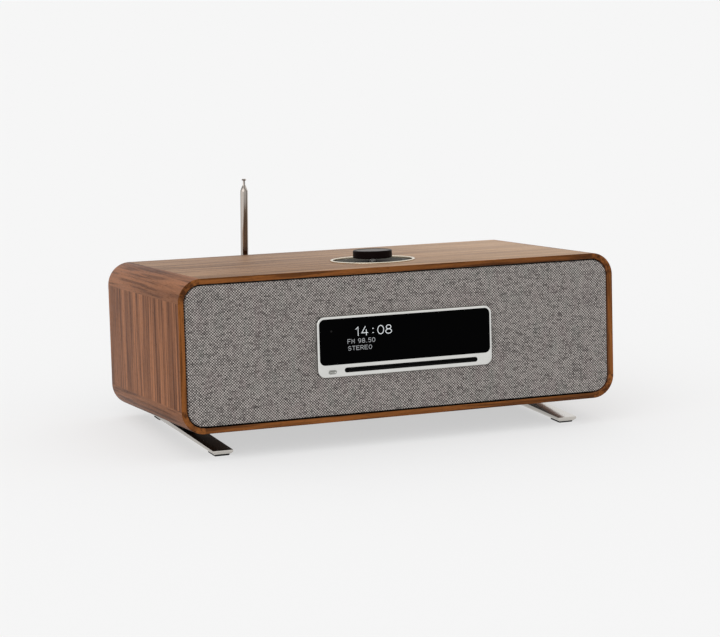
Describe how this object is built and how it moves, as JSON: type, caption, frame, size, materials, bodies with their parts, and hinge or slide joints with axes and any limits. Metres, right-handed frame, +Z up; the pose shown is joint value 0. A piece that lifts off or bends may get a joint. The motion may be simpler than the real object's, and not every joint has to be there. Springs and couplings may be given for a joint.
{
  "type": "mini hifi system",
  "caption": "Free-standing wooden-cased music player with cloth grille, disc slot, display window, top dial, sprung keys, chrome foot bars and telescopic antenna.",
  "frame": {"origin": "middle of the footprint, on the surface that the pads stand on", "axes": "+X to the set's right as seen from the front, +Y to the rear, +Z up; the cabinet leans back by 4 degrees about X"},
  "size_m": [0.42, 0.2332, 0.215],
  "materials": {
    "walnut": "satin oiled veneer",
    "walnut_corner": "satin oiled veneer on the rounded posts",
    "baffle_board": "black painted fibreboard",
    "rear_plastic": "fine textured",
    "black_screw": "black zinc",
    "frame_plastic": "moulded",
    "grille_cloth": "tweed weave",
    "mirror_chrome": "mirror polished",
    "spacer_plastic": "moulded",
    "pad_rubber": "matt",
    "steel_screw": "plated",
    "port_plastic": "satin moulded",
    "basket_metal": "black powder coat",
    "magnet_metal": "ferrite and plated steel",
    "cone_paper": "pressed paper, taken as fabric",
    "surround_rubber": "satin",
    "bezel_silver": "fine bead-blasted",
    "window_gloss": "high gloss black",
    "display_glass": "display glass, taken as gloss plastic",
    "circuit_board": "solder mask",
    "button_silver": "satin",
    "tray_steel": "zinc plated",
    "roller_rubber": "matt",
    "hub_plastic": "moulded",
    "rail_steel": "ground",
    "trim_champagne": "polished champagne",
    "dish_plastic": "satin grey",
    "key_plastic": "satin grey",
    "knob_finish": "dark brown, spun top",
    "encoder_metal": "plated",
    "sink_aluminium": "extruded",
    "inlet_plastic": "moulded",
    "jack_plastic": "moulded",
    "antenna_metal": "plated",
    "antenna_chrome": "polished"
  },
  "bodies": {
    "cabinet": {"antenna_socket": "antenna_metal", "bottom_panel": "walnut", "cd_chassis": "tray_steel", "corner_posts": "walnut_corner", "dial_base": "dish_plastic", "dial_trim_ring": "trim_champagne", "display_bezel": "bezel_silver", "display_board": "circuit_board", "display_module": "display_glass", "display_window": "window_gloss", "driver_screws": "black_screw", "encoder_body": "encoder_metal", "foot_pads": "pad_rubber", "foot_screws": "steel_screw", "foot_spacers": "spacer_plastic", "front_baffle": "baffle_board", "grille_cloth": "grille_cloth", "grille_frame": "frame_plastic", "heat_sink": "sink_aluminium", "left_driver_basket": "basket_metal", "left_driver_magnet": "magnet_metal", "left_driver_surround": "surround_rubber", "left_foot_bar": "mirror_chrome", "left_side_panel": "walnut", "main_board": "circuit_board", "mains_inlet": "inlet_plastic", "rear_panel": "rear_plastic", "rear_panel_screws": "black_screw", "reflex_ports": "port_plastic", "right_driver_basket": "basket_metal", "right_driver_magnet": "magnet_metal", "right_driver_surround": "surround_rubber", "right_foot_bar": "mirror_chrome", "right_side_panel": "walnut", "signal_jacks": "jack_plastic", "sled_rails": "rail_steel", "spindle_motor": "tray_steel", "top_panel": "walnut"},
    "eject_button": {"eject_button": "button_silver"},
    "dial_shaft": {"encoder_shaft": "rail_steel"},
    "knob": {"control_knob": "knob_finish"},
    "spindle": {"spindle_hub": "hub_plastic"},
    "feed_roller": {"feed_roller": "roller_rubber"},
    "pickup": {"pickup_sled": "hub_plastic"},
    "lead_screw": {"lead_screw": "rail_steel"},
    "left_cone": {"left_driver_cone": "cone_paper"},
    "right_cone": {"right_driver_cone": "cone_paper"},
    "antenna_swivel": {"antenna_elbow": "antenna_metal"},
    "antenna_base": {"antenna_tube_1": "antenna_chrome"},
    "antenna_stage_2": {"antenna_tube_2": "antenna_chrome"},
    "antenna_stage_3": {"antenna_tube_3": "antenna_chrome"},
    "antenna_tip": {"antenna_rod": "antenna_chrome"},
    "key_1": {"key_1": "key_plastic"},
    "key_2": {"key_2": "key_plastic"},
    "key_3": {"key_3": "key_plastic"},
    "key_4": {"key_4": "key_plastic"},
    "key_5": {"key_5": "key_plastic"},
    "key_6": {"key_6": "key_plastic"}
  },
  "joints": [
    {"name": "key_1_press", "type": "slide", "parent": "cabinet", "child": "key_1", "axis": [0, -0.0698, -0.9976], "range_m": [0, 0.0006], "stiffness_N_per_m": 500},
    {"name": "key_2_press", "type": "slide", "parent": "cabinet", "child": "key_2", "axis": [0, -0.0698, -0.9976], "range_m": [0, 0.0006], "stiffness_N_per_m": 500},
    {"name": "key_3_press", "type": "slide", "parent": "cabinet", "child": "key_3", "axis": [0, -0.0698, -0.9976], "range_m": [0, 0.0006], "stiffness_N_per_m": 500},
    {"name": "key_4_press", "type": "slide", "parent": "cabinet", "child": "key_4", "axis": [0, -0.0698, -0.9976], "range_m": [0, 0.0006], "stiffness_N_per_m": 500},
    {"name": "key_5_press", "type": "slide", "parent": "cabinet", "child": "key_5", "axis": [0, -0.0698, -0.9976], "range_m": [0, 0.0006], "stiffness_N_per_m": 500},
    {"name": "key_6_press", "type": "slide", "parent": "cabinet", "child": "key_6", "axis": [0, -0.0698, -0.9976], "range_m": [0, 0.0006], "stiffness_N_per_m": 500},
    {"name": "dial_turn", "type": "hinge", "parent": "cabinet", "child": "dial_shaft", "pos_m": [0, -0.0389, 0.15329], "axis": [0, 0.0698, 0.9976], "continuous": true},
    {"name": "knob_press", "type": "slide", "parent": "dial_shaft", "child": "knob", "axis": [0, -0.0698, -0.9976], "range_m": [0, 0.0008], "stiffness_N_per_m": 900},
    {"name": "eject_press", "type": "slide", "parent": "cabinet", "child": "eject_button", "axis": [0, 0.9976, -0.0698], "range_m": [0, 0.0008], "stiffness_N_per_m": 300},
    {"name": "disc_spin", "type": "hinge", "parent": "cabinet", "child": "spindle", "pos_m": [0.00515, -0.01864, 0.06321], "axis": [0, 0.0698, 0.9976], "continuous": true},
    {"name": "feed_roll", "type": "hinge", "parent": "cabinet", "child": "feed_roller", "pos_m": [0.00515, -0.0858, 0.0632], "axis": [1, 0, 0], "continuous": true},
    {"name": "pickup_travel", "type": "slide", "parent": "cabinet", "child": "pickup", "axis": [0, 0.9976, -0.0698], "range_m": [0, 0.03]},
    {"name": "lead_screw_turn", "type": "hinge", "parent": "cabinet", "child": "lead_screw", "pos_m": [0.01815, -0.00325, 0.04956], "axis": [0, 0.9976, -0.0698], "range_deg": [0, 1800.5]},
    {"name": "left_cone_stroke", "type": "slide", "parent": "cabinet", "child": "left_cone", "axis": [0, -0.9976, 0.0698], "range_m": [-0.002, 0.002], "stiffness_N_per_m": 1500, "deforming": ["left_driver_surround"]},
    {"name": "right_cone_stroke", "type": "slide", "parent": "cabinet", "child": "right_cone", "axis": [0, -0.9976, 0.0698], "range_m": [-0.002, 0.002], "stiffness_N_per_m": 1500, "deforming": ["right_driver_surround"]},
    {"name": "antenna_swivel", "type": "hinge", "parent": "cabinet", "child": "antenna_swivel", "pos_m": [-0.0687, 0.09443, 0.08884], "axis": [0, 0.9976, -0.0698], "range_deg": [-60, 60]},
    {"name": "antenna_tilt", "type": "hinge", "parent": "antenna_swivel", "child": "antenna_base", "pos_m": [-0.0687, 0.11238, 0.08758], "axis": [1, 0, 0], "range_deg": [-90, 0]},
    {"name": "antenna_stage_2_slide", "type": "slide", "parent": "antenna_base", "child": "antenna_stage_2", "axis": [0, 0, 1], "range_m": [0, 0.092]},
    {"name": "antenna_stage_3_slide", "type": "slide", "parent": "antenna_stage_2", "child": "antenna_stage_3", "axis": [0, 0, 1], "range_m": [0, 0.092]},
    {"name": "antenna_tip_slide", "type": "slide", "parent": "antenna_stage_3", "child": "antenna_tip", "axis": [0, 0, 1], "range_m": [0, 0.092]}
  ],
  "couplings": [
    {"joint": "lead_screw_turn", "follows": "pickup_travel", "rad_per_m": 1047.2}
  ]
}
